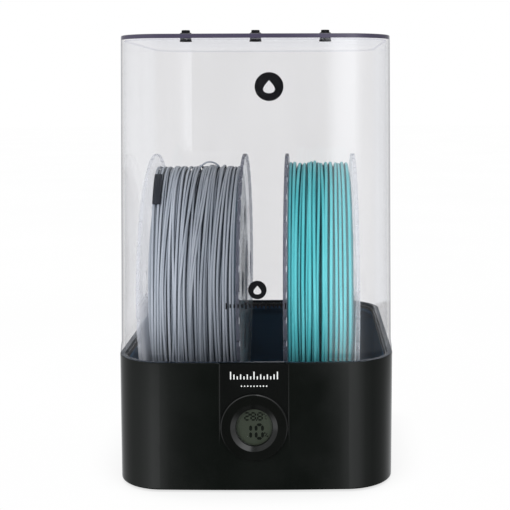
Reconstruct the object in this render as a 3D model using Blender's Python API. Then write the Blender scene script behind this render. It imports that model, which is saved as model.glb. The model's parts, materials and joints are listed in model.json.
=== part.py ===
"""A filament dry box: two spools of filament on ball-bearing rollers under a clear lift-off cover.

Metres, +Z up. Z = 0 is the table, X runs across the front and the front faces -Y.
Every object is one sub-part. A part that moves has its origin on its joint's axis.
"""

import math

import bmesh
import bpy
from mathutils import Matrix, Vector

MM = 0.001

# Base tub: the rim outline is the largest outline of the object. Its front and rear walls bow
# outwards, and BOW is how far they have come back where they would meet the side walls.
RIM_WIDTH = 208.2 * MM
RIM_DEPTH = 242.4 * MM
RIM_CORNER = 35 * MM
BOW = 3.2 * MM
RIM_Z = 95.5 * MM
DRAFT = 1.2 * MM
WALL = 3.2 * MM
FOOT_HEIGHT = 1.2 * MM
GAP = 0.3 * MM
BASE_Z = FOOT_HEIGHT + GAP
FLOOR_Z = BASE_Z + 3 * MM
RIM_LAND = 3.7 * MM
LEDGE_Z = 91 * MM
LEDGE_REACH = 6.2 * MM
SEAL_HEIGHT = 2 * MM
CORNER_STEPS = 7
BOW_STEPS = 7

# Cover: a clear shell that stands on the rim, with a spigot inside it that presses on the seal.
COVER_TOP_Z = 337 * MM
COVER_INSET = 1.2 * MM
COVER_WALL = 2.5 * MM
COVER_PLATE = 3.3 * MM
FLARE_INSET = 0.35 * MM
SPIGOT_INSET = 4.0 * MM
SPIGOT_WALL = 1.6 * MM
SPIGOT_Z = LEDGE_Z + SEAL_HEIGHT + 2 * GAP
OUTLET_HOLE = 4.6 * MM
OUTLET_X = (-53.5 * MM, 0.0, 53.5 * MM)
OUTLET_Y = -83 * MM
OUTLET_NAMES = ("left", "middle", "right")

# Spools: both are 200 mm across, and each flange runs on two bearings.
SPOOL_RADIUS = 100 * MM
SPOOL_AXIS_Z = 141.9 * MM
FLANGE = 3 * MM
HUB_RADIUS = 40 * MM
HUB_SPIGOT = 31.7 * MM
HUB_BORE = 27 * MM
FLANGE_BORE = 32.3 * MM
SPOOLS = (
    # name, left face, right face, wound radius, filament colour
    ("grey", -90 * MM, -12 * MM, 90 * MM, (0.27, 0.29, 0.33)),
    ("teal", 20.7 * MM, 79 * MM, 93 * MM, (0.06, 0.45, 0.47)),
)

# Rollers: 22 x 8 x 7 mm ball bearings on two 8 mm rods.
ROLLER_RADIUS = 11 * MM
ROLLER_WIDTH = 7 * MM
ROD_RADIUS = 4 * MM
ROD_Y = 45 * MM
ROD_HALF_LENGTH = 98 * MM
ROD_Z = SPOOL_AXIS_Z - math.sqrt((SPOOL_RADIUS + ROLLER_RADIUS + GAP) ** 2 - ROD_Y**2)

# Cradle: a plate on the floor with three slotted ribs that carry the rods.
CRADLE_HALF_WIDTH = 96.5 * MM
CRADLE_HALF_DEPTH = 66 * MM
CRADLE_Z = FLOOR_Z + GAP
CRADLE_PLATE = 2 * MM
RIB_WIDTH = 3.5 * MM
RIB_X = (-94.75 * MM, 4.35 * MM, 94.75 * MM)
SCREW_X = 60 * MM
SCREW_Y = 60.5 * MM

# Desiccant boxes: two alike, one under each spool between the rods.
DRY_BOX = (78 * MM, 62 * MM, 26 * MM)
DRY_BOX_X = (-45 * MM, 49.5 * MM)

# Front group: a glossy panel with a round humidity gauge, on the drafted front wall.
GAUGE_Z = 48.3 * MM
PANEL_HALF_WIDTH = 24.95 * MM
PANEL_TOP_Z = 94.7 * MM
PANEL_THICK = 1.3 * MM
PANEL_PROUD = 0.15 * MM
GAUGE_HOLE = 22.8 * MM
WALL_TOP_Z = RIM_Z - 0.6 * MM
WALL_FOOT_Z = BASE_Z + 1.5 * MM
FRONT_LEAN = math.atan2(DRAFT, WALL_TOP_Z - WALL_FOOT_Z)
GAUGE_Y = -(RIM_DEPTH / 2 - DRAFT * (WALL_TOP_Z - GAUGE_Z) / (WALL_TOP_Z - WALL_FOOT_Z))

FOOT_RADIUS = 7.5 * MM
FOOT_X = 76 * MM
FOOT_Y = 95 * MM


def clear_scene():
    for obj in list(bpy.data.objects):
        bpy.data.objects.remove(obj)


def material(name, colour, roughness, metallic=0.0, alpha=1.0):
    made = bpy.data.materials.new(name)
    made.use_nodes = True
    shader = made.node_tree.nodes["Principled BSDF"]
    shader.inputs["Base Color"].default_value = (*colour, 1.0)
    shader.inputs["Roughness"].default_value = roughness
    shader.inputs["Metallic"].default_value = metallic
    shader.inputs["Alpha"].default_value = alpha
    made.diffuse_color = (*colour, alpha)
    return made


def add_object(name, mesh_builder, look, location=(0, 0, 0), rotation=(0, 0, 0), parent=None):
    """An object from a bmesh, with its faces turned outwards."""
    bmesh.ops.recalc_face_normals(mesh_builder, faces=mesh_builder.faces)
    mesh = bpy.data.meshes.new(name)
    mesh_builder.to_mesh(mesh)
    mesh_builder.free()
    obj = bpy.data.objects.new(name, mesh)
    obj.location = location
    obj.rotation_euler = rotation
    obj.parent = parent
    if look:
        mesh.materials.append(look)
    bpy.context.collection.objects.link(obj)
    return obj


def add_empty(name, location, rotation=(0, 0, 0)):
    empty = bpy.data.objects.new(name, None)
    empty.location = location
    empty.rotation_euler = rotation
    bpy.context.collection.objects.link(empty)
    return empty


def rounded_outline(width, depth, corner, steps=CORNER_STEPS, between=1):
    """Points of a rectangle with round corners, anticlockwise, centred on the origin.
    The front and the rear edge are each divided into as many parts as between says."""
    points = []
    for quarter in range(4):
        middle = math.radians(45 + 90 * quarter)
        centre_x = math.copysign(width / 2 - corner, math.cos(middle))
        centre_y = math.copysign(depth / 2 - corner, math.sin(middle))
        for step in range(steps + 1):
            angle = math.radians(90 * quarter + 90 * step / steps)
            points.append((centre_x + corner * math.cos(angle), centre_y + corner * math.sin(angle)))
        if quarter % 2 == 0:
            edge_y = math.copysign(depth / 2, centre_y)
            for part in range(1, between):
                points.append((centre_x * (1 - 2 * part / between), edge_y))
    return points


def bowed(points):
    """The same outline with its front and rear bowed: it comes back as it nears the sides."""
    return [(x, y - math.copysign(BOW * (2 * x / RIM_WIDTH) ** 2, y)) for x, y in points]


def shell_loft(stations, steps=CORNER_STEPS, closed=False):
    """A loft through outlines that follow the rim."""
    return loft(stations, RIM_WIDTH, RIM_DEPTH, RIM_CORNER, steps, closed, BOW_STEPS)


def loft(stations, width, depth, corner, steps=CORNER_STEPS, closed=False, between=1):
    """A body through rounded rectangles. A station is an inset from the widest one, and a z."""
    made = bmesh.new()
    rings = []
    for inset, z in stations:
        outline = rounded_outline(
            width - 2 * inset, depth - 2 * inset, corner - inset, steps, between
        )
        if between > 1:
            outline = bowed(outline)
        rings.append([made.verts.new((x, y, z)) for x, y in outline])
    pairs = list(zip(rings, rings[1:]))
    if closed:
        pairs.append((rings[-1], rings[0]))
    else:
        made.faces.new(rings[0])
        made.faces.new(rings[-1])
    for lower, upper in pairs:
        for i in range(len(lower)):
            j = (i + 1) % len(lower)
            made.faces.new((lower[i], lower[j], upper[j], upper[i]))
    return made


def revolve(profile, segments):
    """A body turned around local Z. The profile is a closed loop of (radius, z) points."""
    made = bmesh.new()
    verts = [made.verts.new((radius, 0, z)) for radius, z in profile]
    edges = [made.edges.new((a, b)) for a, b in zip(verts, verts[1:] + verts[:1])]
    bmesh.ops.spin(
        made,
        geom=verts + edges,
        cent=(0, 0, 0),
        axis=(0, 0, 1),
        angle=math.tau,
        steps=segments,
        use_merge=True,
    )
    bmesh.ops.remove_doubles(made, verts=made.verts, dist=0.001 * MM)
    bmesh.ops.dissolve_degenerate(made, edges=made.edges, dist=0.001 * MM)
    return made


def circle(radius, steps, x=0.0, y=0.0):
    return [
        (x + radius * math.cos(math.tau * i / steps), y + radius * math.sin(math.tau * i / steps))
        for i in range(steps)
    ]


def plate(outline, holes, low, high):
    """A flat body in local XY between two heights, with holes through it."""
    made = bmesh.new()
    for loop in (outline, *holes):
        verts = [made.verts.new((x, y, low)) for x, y in loop]
        for a, b in zip(verts, verts[1:] + verts[:1]):
            made.edges.new((a, b))
    bmesh.ops.triangle_fill(made, use_beauty=True, edges=made.edges)
    raised = bmesh.ops.extrude_face_region(made, geom=list(made.faces))
    moved = [item for item in raised["geom"] if isinstance(item, bmesh.types.BMVert)]
    bmesh.ops.translate(made, verts=moved, vec=(0, 0, high - low))
    return made


def box(low, high):
    made = bmesh.new()
    bmesh.ops.create_cube(made, size=1)
    size = Vector(high) - Vector(low)
    bmesh.ops.scale(made, verts=made.verts, vec=size)
    bmesh.ops.translate(made, verts=made.verts, vec=(Vector(high) + Vector(low)) / 2)
    return made


def boolean(obj, tool, operation="DIFFERENCE"):
    """Cuts or joins with a hidden tool object."""
    tool.hide_render = True
    tool.display_type = "WIRE"
    modifier = obj.modifiers.new(tool.name, "BOOLEAN")
    modifier.operation = operation
    modifier.solver = "EXACT"
    modifier.object = tool


# --- Base ---------------------------------------------------------------------------------------


def tombstone(half_width, top):
    """An upright outline with a half-round foot, around the gauge's centre."""
    steps = 18
    foot = [
        (half_width * math.cos(math.pi + math.pi * i / steps),
         half_width * math.sin(math.pi + math.pi * i / steps))
        for i in range(steps + 1)
    ]
    return [*foot, (half_width, top), (-half_width, top)]


def base_tub(front):
    stations = (
        (DRAFT + 1.5 * MM, BASE_Z),
        (DRAFT + 0.45 * MM, BASE_Z + 0.45 * MM),
        (DRAFT, WALL_FOOT_Z),
        (0.0, WALL_TOP_Z),
        (0.6 * MM, RIM_Z),
        (RIM_LAND, RIM_Z),
        (RIM_LAND, LEDGE_Z),
        (LEDGE_REACH, LEDGE_Z),
        (LEDGE_REACH, LEDGE_Z - 3 * MM),
        (WALL, LEDGE_Z - 8 * MM),
        (DRAFT + WALL, FLOOR_Z + 1.5 * MM),
        (DRAFT + WALL + 1.5 * MM, FLOOR_Z),
    )
    look = material("base_black", (0.012, 0.012, 0.014), 0.38)
    tub = add_object("base_tub", shell_loft(stations), look)
    recess_top = RIM_Z - GAUGE_Z + 5 * MM
    recess = plate(
        tombstone(PANEL_HALF_WIDTH + GAP, recess_top), [], PANEL_PROUD - PANEL_THICK - GAP, 5 * MM
    )
    boolean(tub, add_object("cut_panel_recess", recess, None, parent=front))
    low, high = -12 * MM, 6 * MM
    hole = revolve(((0, low), (GAUGE_HOLE, low), (GAUGE_HOLE, high), (0, high)), 36)
    boolean(tub, add_object("cut_gauge_hole", hole, None, parent=front))
    for index, (x, y) in enumerate(screw_places()):
        bore = revolve(((0, 0), (1.8 * MM, 0), (1.8 * MM, 5 * MM), (0, 5 * MM)), 8)
        place = (x, y, BASE_Z + 1.0 * MM)
        boolean(tub, add_object(f"cut_floor_bore_{index}", bore, None, place))


def screw_places():
    return [(sx * SCREW_X, sy * SCREW_Y) for sx in (-1, 1) for sy in (-1, 1)]


def feet():
    for side, sx in (("left", -1), ("right", 1)):
        for end, sy in (("front", -1), ("rear", 1)):
            profile = (
                (0, 0),
                (FOOT_RADIUS - 0.4 * MM, 0),
                (FOOT_RADIUS, FOOT_HEIGHT / 2),
                (FOOT_RADIUS, FOOT_HEIGHT),
                (0, FOOT_HEIGHT),
            )
            look = material(f"foot_rubber_{end}_{side}", (0.02, 0.02, 0.02), 0.85)
            place = (sx * FOOT_X, sy * FOOT_Y, 0)
            add_object(f"rubber_foot_{end}_{side}", revolve(profile, 16), look, place)


def rim_seal():
    low = LEDGE_Z + GAP
    high = low + SEAL_HEIGHT
    outer = RIM_LAND + GAP
    inner = LEDGE_REACH - 0.4 * MM
    stations = ((outer, low), (inner, low), (inner, high), (outer, high))
    look = material("seal_rubber", (0.03, 0.03, 0.035), 0.8)
    add_object("rim_seal", shell_loft(stations, 5, closed=True), look)


# --- Rollers ------------------------------------------------------------------------------------


def rib_outline():
    """A rib seen along X, as (y, z): a low wall that rises into a slotted post at each rod."""
    slot = ROD_RADIUS + GAP
    top = ROD_Z + 5 * MM
    half = [(-59 * MM, CRADLE_Z + CRADLE_PLATE / 2), (-59 * MM, 28 * MM), (-53 * MM, top)]
    half.append((-ROD_Y - slot, top))
    steps = 6
    for i in range(steps + 1):
        angle = math.pi + math.pi * i / steps
        half.append((-ROD_Y + slot * math.cos(angle), ROD_Z + slot * math.sin(angle)))
    half += [(-ROD_Y + slot, top), (-37.5 * MM, top), (-34.5 * MM, 20 * MM)]
    return half + [(-y, z) for y, z in reversed(half)]


def roller_cradle():
    holes = [circle(1.9 * MM, 8, x, y) for x, y in screw_places()]
    outline = rounded_outline(2 * CRADLE_HALF_WIDTH, 2 * CRADLE_HALF_DEPTH, 6 * MM, 2)
    look = material("cradle_plastic", (0.02, 0.02, 0.023), 0.5)
    cradle = add_object(
        "roller_cradle", plate(outline, holes, CRADLE_Z, CRADLE_Z + CRADLE_PLATE), look
    )
    upright = Matrix(((0, 0, 1), (1, 0, 0), (0, 1, 0))).to_euler()
    for index, x in enumerate(RIB_X):
        rib = plate(rib_outline(), [], -RIB_WIDTH / 2, RIB_WIDTH / 2)
        tool = add_object(f"join_rib_{index}", rib, None, (x, 0, 0), upright)
        boolean(cradle, tool, "UNION")


def cradle_screws():
    """Pan-head screws that hold the cradle to the floor."""
    head_z = CRADLE_Z + CRADLE_PLATE + GAP
    profile = (
        (0, BASE_Z + 1.4 * MM),
        (1.5 * MM, BASE_Z + 1.4 * MM),
        (1.5 * MM, head_z),
        (3.4 * MM, head_z),
        (3.4 * MM, head_z + 1.2 * MM),
        (2.4 * MM, head_z + 2 * MM),
        (0, head_z + 2 * MM),
    )
    names = ("front_left", "rear_left", "front_right", "rear_right")
    for name, (x, y) in zip(names, screw_places()):
        look = material(f"screw_steel_{name}", (0.6, 0.6, 0.62), 0.3, 1.0)
        add_object(f"cradle_screw_{name}", revolve(profile, 10), look, (x, y, 0))


def rods():
    for name, sign in (("front", -1), ("rear", 1)):
        end = ROD_HALF_LENGTH
        profile = (
            (0, -end),
            (ROD_RADIUS - 0.5 * MM, -end),
            (ROD_RADIUS, -end + 0.5 * MM),
            (ROD_RADIUS, end - 0.5 * MM),
            (ROD_RADIUS - 0.5 * MM, end),
            (0, end),
        )
        look = material(f"rod_steel_{name}", (0.62, 0.63, 0.65), 0.25, 1.0)
        place = (0, sign * ROD_Y, ROD_Z)
        add_object(f"{name}_rod", revolve(profile, 16), look, place, (0, math.pi / 2, 0))


def rollers():
    """Eight ball bearings: the outer race turns with the spool, the inner race stays on its rod."""
    half = ROLLER_WIDTH / 2
    shield = half - 0.6 * MM
    outer = (
        (6.6 * MM, -shield),
        (9.2 * MM, -shield),
        (9.2 * MM, -half),
        (ROLLER_RADIUS, -half),
        (ROLLER_RADIUS, half),
        (9.2 * MM, half),
        (9.2 * MM, shield),
        (6.6 * MM, shield),
    )
    bore = ROD_RADIUS + 0.35 * MM
    inner = ((bore, -half), (6.2 * MM, -half), (6.2 * MM, half), (bore, half))
    turned = (0, math.pi / 2, 0)
    for spool, left, right, _, _ in SPOOLS:
        for side, x in (("left", left + FLANGE / 2), ("right", right - FLANGE / 2)):
            for end, sign in (("front", -1), ("rear", 1)):
                name = f"{spool}_{end}_{side}"
                place = (x, sign * ROD_Y, ROD_Z)
                steel = material(f"race_steel_{name}", (0.6, 0.6, 0.62), 0.28, 1.0)
                add_object(f"roller_{name}", revolve(outer, 16), steel, place, turned)
                dark = material(f"inner_race_steel_{name}", (0.5, 0.5, 0.52), 0.35, 1.0)
                add_object(f"inner_race_{name}", revolve(inner, 12), dark, place, turned)


# --- Desiccant ----------------------------------------------------------------------------------


def desiccant():
    width, depth, height = DRY_BOX
    low = CRADLE_Z + CRADLE_PLATE + GAP
    wall = 1.6 * MM
    corner = 5 * MM
    for side, x in zip(("left", "right"), DRY_BOX_X):
        stations = (
            (0.8 * MM, 0),
            (0, 0.8 * MM),
            (0, height),
            (wall, height),
            (wall, wall),
        )
        look = material(f"dry_box_plastic_{side}", (0.75, 0.75, 0.74), 0.5)
        shell = loft(stations, width, depth, corner, 3)
        add_object(f"desiccant_box_{side}", shell, look, (x, 0, low))

        slots = []
        for column in range(6):
            for row in range(2):
                centre_x = (column - 2.5) * 11 * MM
                centre_y = (row - 0.5) * 26 * MM
                slots.append([
                    (centre_x - 1.6 * MM, centre_y - 9 * MM),
                    (centre_x + 1.6 * MM, centre_y - 9 * MM),
                    (centre_x + 1.6 * MM, centre_y + 9 * MM),
                    (centre_x - 1.6 * MM, centre_y + 9 * MM),
                ])
        lid = plate(rounded_outline(width, depth, corner, 3), slots, 0, 1.8 * MM)
        look = material(f"dry_lid_plastic_{side}", (0.72, 0.72, 0.71), 0.5)
        add_object(f"desiccant_lid_{side}", lid, look, (x, 0, low + height + GAP))

        pillow = ((9 * MM, 0), (2.5 * MM, 4 * MM), (2.5 * MM, 12 * MM), (10 * MM, 17 * MM))
        bag = loft(pillow, width - 2 * wall, depth - 2 * wall, 12 * MM, 3)
        look = material(f"silica_bag_paper_{side}", (0.85, 0.85, 0.82), 0.9)
        add_object(f"silica_bag_{side}", bag, look, (x, 0, low + wall + GAP))


# --- Front panel and gauge ----------------------------------------------------------------------


def front_frame():
    """An empty on the front wall at the gauge: local Z points outwards and local Y up the wall."""
    return add_empty("front_frame", (0, GAUGE_Y, GAUGE_Z), (math.pi / 2 + FRONT_LEAN, 0, 0))


def front_panel(front):
    outline = tombstone(PANEL_HALF_WIDTH, PANEL_TOP_Z - GAUGE_Z)
    made = plate(outline, [circle(GAUGE_HOLE, 36)], PANEL_PROUD - PANEL_THICK, PANEL_PROUD)
    look = material("panel_gloss_black", (0.006, 0.006, 0.007), 0.12)
    add_object("front_panel", made, look, parent=front)


def gauge(front):
    """The humidity gauge, as turned parts on one axis. Heights are from the wall's face, outwards."""

    def turned(name, profile, segments, look):
        scaled = [(radius * MM, z * MM) for radius, z in profile]
        return add_object(name, revolve(scaled, segments), look, parent=front)

    bezel = (
        (24.6, 0.45), (24.6, 0.9), (22.4, 2.1), (20.0, 2.8), (17.9, 3.1), (16.6, 2.6),
        (13.5, 0.9), (13.3, 0.5), (13.3, 0.0), (18.3, 0.0), (18.3, -4.0), (19.8, -4.0), (19.8, 0.45),
    )
    turned("gauge_bezel", bezel, 36, material("bezel_satin_black", (0.02, 0.02, 0.021), 0.3))
    housing = (
        (11.6, -15), (21.8, -15), (21.8, 0.1), (20.3, 0.1), (20.3, -13.4), (11.6, -13.4),
    )
    turned("gauge_housing", housing, 28, material("housing_black", (0.02, 0.02, 0.02), 0.5))
    lens = ((0, -1.4), (17.8, -1.4), (17.8, -0.3), (0, -0.3))
    turned("gauge_lens", lens, 24, material("lens_clear", (0.9, 0.92, 0.9), 0.05, 0.0, 0.25))
    display = ((0, -3.9), (16.5, -3.9), (16.5, -1.7), (0, -1.7))
    turned("gauge_display", display, 24, material("lcd_grey_green", (0.22, 0.24, 0.21), 0.35))
    board = ((0, -6.0), (19.5, -6.0), (19.5, -4.4), (0, -4.4))
    turned("gauge_board", board, 20, material("board_green", (0.02, 0.16, 0.06), 0.5))
    cell = ((0, -12.8), (9.4, -12.8), (10.0, -12.2), (10.0, -9.6), (0, -9.6))
    turned("gauge_battery", cell, 20, material("cell_steel", (0.7, 0.7, 0.72), 0.25, 1.0))
    door = ((0, -15), (11.2, -15), (11.2, -13.4), (0, -13.4))
    made = turned("battery_door", door, 20, material("door_black", (0.02, 0.02, 0.02), 0.5))
    slot = box((-5 * MM, -0.9 * MM, -16 * MM), (5 * MM, 0.9 * MM, -14.2 * MM))
    boolean(made, add_object("cut_coin_slot", slot, None, parent=front))


# --- Cover and outlets --------------------------------------------------------------------------


def cover_shell():
    inner = COVER_INSET + COVER_WALL
    stations = (
        (COVER_INSET + 1.2 * MM, COVER_TOP_Z),
        (COVER_INSET + 0.35 * MM, COVER_TOP_Z - 0.35 * MM),
        (COVER_INSET, COVER_TOP_Z - 1.2 * MM),
        (COVER_INSET, RIM_Z + 9 * MM),
        (0.95 * MM, RIM_Z + 6.5 * MM),
        (0.5 * MM, RIM_Z + 3.5 * MM),
        (FLARE_INSET, RIM_Z + GAP),
        (SPIGOT_INSET, RIM_Z + GAP),
        (SPIGOT_INSET, SPIGOT_Z),
        (SPIGOT_INSET + SPIGOT_WALL, SPIGOT_Z),
        (SPIGOT_INSET + SPIGOT_WALL, RIM_Z + 2 * MM),
        (inner, RIM_Z + 5 * MM),
        (inner, COVER_TOP_Z - COVER_PLATE - 2 * MM),
        (inner + 0.6 * MM, COVER_TOP_Z - COVER_PLATE - 0.6 * MM),
        (inner + 2 * MM, COVER_TOP_Z - COVER_PLATE),
    )
    look = material("cover_clear", (0.86, 0.86, 0.9), 0.06, 0.0, 0.2)
    cover = add_object("cover_shell", shell_loft(stations), look)
    for index, x in enumerate(OUTLET_X):
        low, high = -2 * COVER_PLATE, COVER_PLATE
        hole = revolve(((0, low), (OUTLET_HOLE, low), (OUTLET_HOLE, high), (0, high)), 16)
        boolean(cover, add_object(f"cut_outlet_{index}", hole, None, (x, OUTLET_Y, COVER_TOP_Z)))


def outlets():
    """A rubber bush through the top plate for each strand, with a plug that pulls out of it."""
    bush = (
        (2.4, -4.6), (4.9, -4.6), (4.9, -3.3), (4.3, -3.3), (4.3, 0.3), (5.4, 0.3), (4.2, 1.6), (2.4, 1.6),
    )
    plug = (
        (0, -3.6), (1.7, -3.6), (2.0, -3.2), (2.0, 1.9), (3.3, 1.9), (3.3, 4.0), (2.9, 4.5), (0, 4.5),
    )
    for name, x in zip(OUTLET_NAMES, OUTLET_X):
        place = (x, OUTLET_Y, COVER_TOP_Z)
        look = material(f"bush_rubber_{name}", (0.015, 0.015, 0.02), 0.6)
        scaled = [(radius * MM, z * MM) for radius, z in bush]
        add_object(f"outlet_bush_{name}", revolve(scaled, 16), look, place)
        look = material(f"plug_rubber_{name}", (0.012, 0.012, 0.015), 0.55)
        scaled = [(radius * MM, z * MM) for radius, z in plug]
        add_object(f"outlet_plug_{name}", revolve(scaled, 16), look, place)


# --- Spools -------------------------------------------------------------------------------------


def spool(name, left, right, wound_radius, colour):
    """Two clear flanges on a hub, with the filament wound between them. Local Z runs along +X."""
    width = right - left
    axis = add_empty(f"{name}_spool_axis", (left, 0, SPOOL_AXIS_Z), (0, math.pi / 2, 0))
    clear = (0.78, 0.8, 0.84)

    ports = []
    for i in range(6):
        angle = math.tau * (i + 0.5) / 6
        ports.append(circle(10 * MM, 10, 56 * MM * math.cos(angle), 56 * MM * math.sin(angle)))
    for side, low in (("left", 0.0), ("right", width - FLANGE)):
        made = plate(
            circle(SPOOL_RADIUS, 48), [circle(FLANGE_BORE, 24), *ports], low, low + FLANGE
        )
        look = material(f"flange_clear_{name}_{side}", clear, 0.08, 0.0, 0.3)
        add_object(f"{name}_flange_{side}", made, look, parent=axis)

    near, far = FLANGE + GAP, width - FLANGE - GAP
    hub = (
        (HUB_BORE, 0),
        (HUB_SPIGOT, 0),
        (HUB_SPIGOT, near),
        (HUB_RADIUS, near),
        (HUB_RADIUS, far),
        (HUB_SPIGOT, far),
        (HUB_SPIGOT, width),
        (HUB_BORE, width),
    )
    look = material(f"hub_clear_{name}", clear, 0.1, 0.0, 0.4)
    add_object(f"{name}_hub", revolve(hub, 24), look, parent=axis)

    inner = HUB_RADIUS + 0.7 * MM
    winding = ((inner, near), (wound_radius, near), (wound_radius, far), (inner, far))
    look = material(f"filament_{name}", colour, 0.45)
    add_object(f"{name}_filament_winding", revolve(winding, 48), look, parent=axis)


def build():
    clear_scene()
    front = front_frame()
    base_tub(front)
    feet()
    rim_seal()
    roller_cradle()
    cradle_screws()
    rods()
    rollers()
    desiccant()
    front_panel(front)
    gauge(front)
    cover_shell()
    outlets()
    for row in SPOOLS:
        spool(*row)


build()
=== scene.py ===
import json
import math
import random

import bmesh
import bpy
from mathutils import Matrix, Vector


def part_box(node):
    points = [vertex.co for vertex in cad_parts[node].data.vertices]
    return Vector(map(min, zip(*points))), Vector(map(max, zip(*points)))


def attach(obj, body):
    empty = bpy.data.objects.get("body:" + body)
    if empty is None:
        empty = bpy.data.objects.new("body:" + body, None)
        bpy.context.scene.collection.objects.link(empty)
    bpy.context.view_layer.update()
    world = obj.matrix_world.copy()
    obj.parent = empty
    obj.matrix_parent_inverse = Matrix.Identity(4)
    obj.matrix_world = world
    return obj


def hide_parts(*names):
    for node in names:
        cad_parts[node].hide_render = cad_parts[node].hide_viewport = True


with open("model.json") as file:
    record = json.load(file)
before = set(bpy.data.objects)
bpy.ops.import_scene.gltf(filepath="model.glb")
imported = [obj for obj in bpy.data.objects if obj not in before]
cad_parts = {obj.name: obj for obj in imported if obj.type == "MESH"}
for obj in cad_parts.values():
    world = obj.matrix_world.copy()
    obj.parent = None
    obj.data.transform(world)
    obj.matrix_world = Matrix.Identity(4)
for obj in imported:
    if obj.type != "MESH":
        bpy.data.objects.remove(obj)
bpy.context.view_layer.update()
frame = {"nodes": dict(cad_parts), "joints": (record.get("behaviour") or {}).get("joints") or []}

MM = 0.001
JOINTS = {joint["name"]: joint for joint in frame["joints"]}

# Base and cover: the rim is the widest outline, and insets are measured inwards from it.
TUB_LOW, TUB_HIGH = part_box("base_tub")
COVER_LOW, COVER_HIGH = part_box("cover_shell")
RIM_WIDTH = TUB_HIGH[0] - TUB_LOW[0]
RIM_DEPTH = TUB_HIGH[1] - TUB_LOW[1]
RIM_CORNER = 35 * MM
BOW = 3.2 * MM
BASE_Z = TUB_LOW[2]
RIM_Z = TUB_HIGH[2]
TOP_Z = COVER_HIGH[2]
DRAFT = 1.2 * MM
WALL = 3.2 * MM
RIM_LAND = 3.7 * MM
LEDGE_REACH = 6.2 * MM
LEDGE_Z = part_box("rim_seal")[0][2] - 0.3 * MM
FLOOR_Z = BASE_Z + 3 * MM
COVER_INSET = 1.2 * MM
COVER_WALL = 2.5 * MM
COVER_PLATE = 3.3 * MM
FLARE_INSET = 0.35 * MM
SPIGOT_INSET = 4 * MM
SPIGOT_WALL = 1.6 * MM

# The gauge's axis: a place on the front wall, and the way out of it.
GAUGE_AT = Vector(JOINTS["battery_door_twist"]["pos_m"])
OUTWARDS = Vector(JOINTS["gauge_pull"]["axis"])
PANEL_HALF = 24.95 * MM
GAUGE_HOLE = 22.8 * MM

CORNERS = [f"{end}_{side}" for end in ("front", "rear") for side in ("left", "right")]


# --- Mesh tools ---


def in_scene(name, data):
    """A new object for a mesh, a curve, a camera or a lamp."""
    obj = bpy.data.objects.new(name, data)
    bpy.context.scene.collection.objects.link(obj)
    return obj


def as_mesh(name, made):
    """A mesh from a bmesh, which is used up."""
    mesh = bpy.data.meshes.new(name)
    made.to_mesh(mesh)
    made.free()
    return mesh


def baked(obj):
    """The object's mesh with its modifiers applied."""
    graph = bpy.context.evaluated_depsgraph_get()
    return bpy.data.meshes.new_from_object(obj.evaluated_get(graph), depsgraph=graph)


def smooth(mesh, sharp=35):
    """Smooth shading that keeps the edges above an angle in degrees."""
    mesh.shade_smooth()
    mesh.set_sharp_from_angle(angle=math.radians(sharp))


def add_piece(name, made, look, body, replaced=(), sharp=35):
    """A finished piece from a bmesh: faces out, smooth over shallow angles, riding on its body."""
    bmesh.ops.recalc_face_normals(made, faces=made.faces)
    return finish_piece(name, as_mesh(name, made), look, body, replaced, sharp)


def finish_piece(name, mesh, look, body, replaced=(), sharp=35):
    """The same from a mesh whose faces already point out."""
    obj = in_scene(name, mesh)
    mesh.materials.append(LOOKS[look])
    smooth(mesh, sharp)
    weighted = obj.modifiers.new("weighted_normals", "WEIGHTED_NORMAL")
    weighted.keep_sharp = True
    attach(obj, body)
    if replaced:
        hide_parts(*replaced)
    return obj


def more_looks(obj, *looks):
    """Further materials for some of a piece's faces."""
    for look in looks:
        obj.data.materials.append(LOOKS[look])


def cut(obj, made):
    """Cuts a closed bmesh out of an object, at once."""
    bmesh.ops.recalc_face_normals(made, faces=made.faces)
    tool = in_scene("cutter", as_mesh("cutter", made))
    modifier = obj.modifiers.new("cut", "BOOLEAN")
    modifier.solver = "EXACT"
    modifier.object = tool
    result = baked(obj)
    obj.modifiers.remove(modifier)
    bpy.data.objects.remove(tool)
    obj.data = result


def softened(points, steps=4):
    """A closed outline whose corners are rounded. Each point is (x, y, radius), and 0 keeps it sharp."""
    result = []
    count = len(points)
    for i, (x, y, radius) in enumerate(points):
        if radius == 0:
            result.append((x, y))
            continue
        here = Vector((x, y))
        before = Vector(points[i - 1][:2]) - here
        after = Vector(points[(i + 1) % count][:2]) - here
        half = before.angle(after) / 2
        reach = min(radius / math.tan(half), 0.48 * before.length, 0.48 * after.length)
        start = here + before.normalized() * reach
        end = here + after.normalized() * reach
        for k in range(steps + 1):
            t = k / steps
            spot = start * (1 - t) ** 2 + here * 2 * t * (1 - t) + end * t**2
            result.append((spot.x, spot.y))
    return result


def softened_mm(points, steps=4):
    """The same, in millimetres."""
    return softened([(x * MM, y * MM, radius * MM) for x, y, radius in points], steps)


def rim_outline(inset, steps, between=20):
    """The rim's outline moved inwards: round corners, and a front and a rear that bow outwards."""
    corner = RIM_CORNER - inset
    points = []
    for quarter in range(4):
        diagonal = math.radians(45 + 90 * quarter)
        centre_x = math.copysign(RIM_WIDTH / 2 - RIM_CORNER, math.cos(diagonal))
        centre_y = math.copysign(RIM_DEPTH / 2 - RIM_CORNER, math.sin(diagonal))
        for step in range(steps + 1):
            x, y = polar(corner, math.radians(90 * (quarter + step / steps)))
            points.append((centre_x + x, centre_y + y))
        if quarter % 2 == 0:
            edge_y = centre_y + math.copysign(corner, centre_y)
            for part in range(1, between):
                points.append((centre_x * (1 - 2 * part / between), edge_y))
    return [(x, y - math.copysign(BOW * (2 * x / RIM_WIDTH) ** 2, y)) for x, y in points]


def bridge(made, lower, upper):
    """Faces between two closed loops of vertices."""
    for i in range(len(lower)):
        j = (i + 1) % len(lower)
        made.faces.new((lower[i], lower[j], upper[j], upper[i]))


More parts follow.
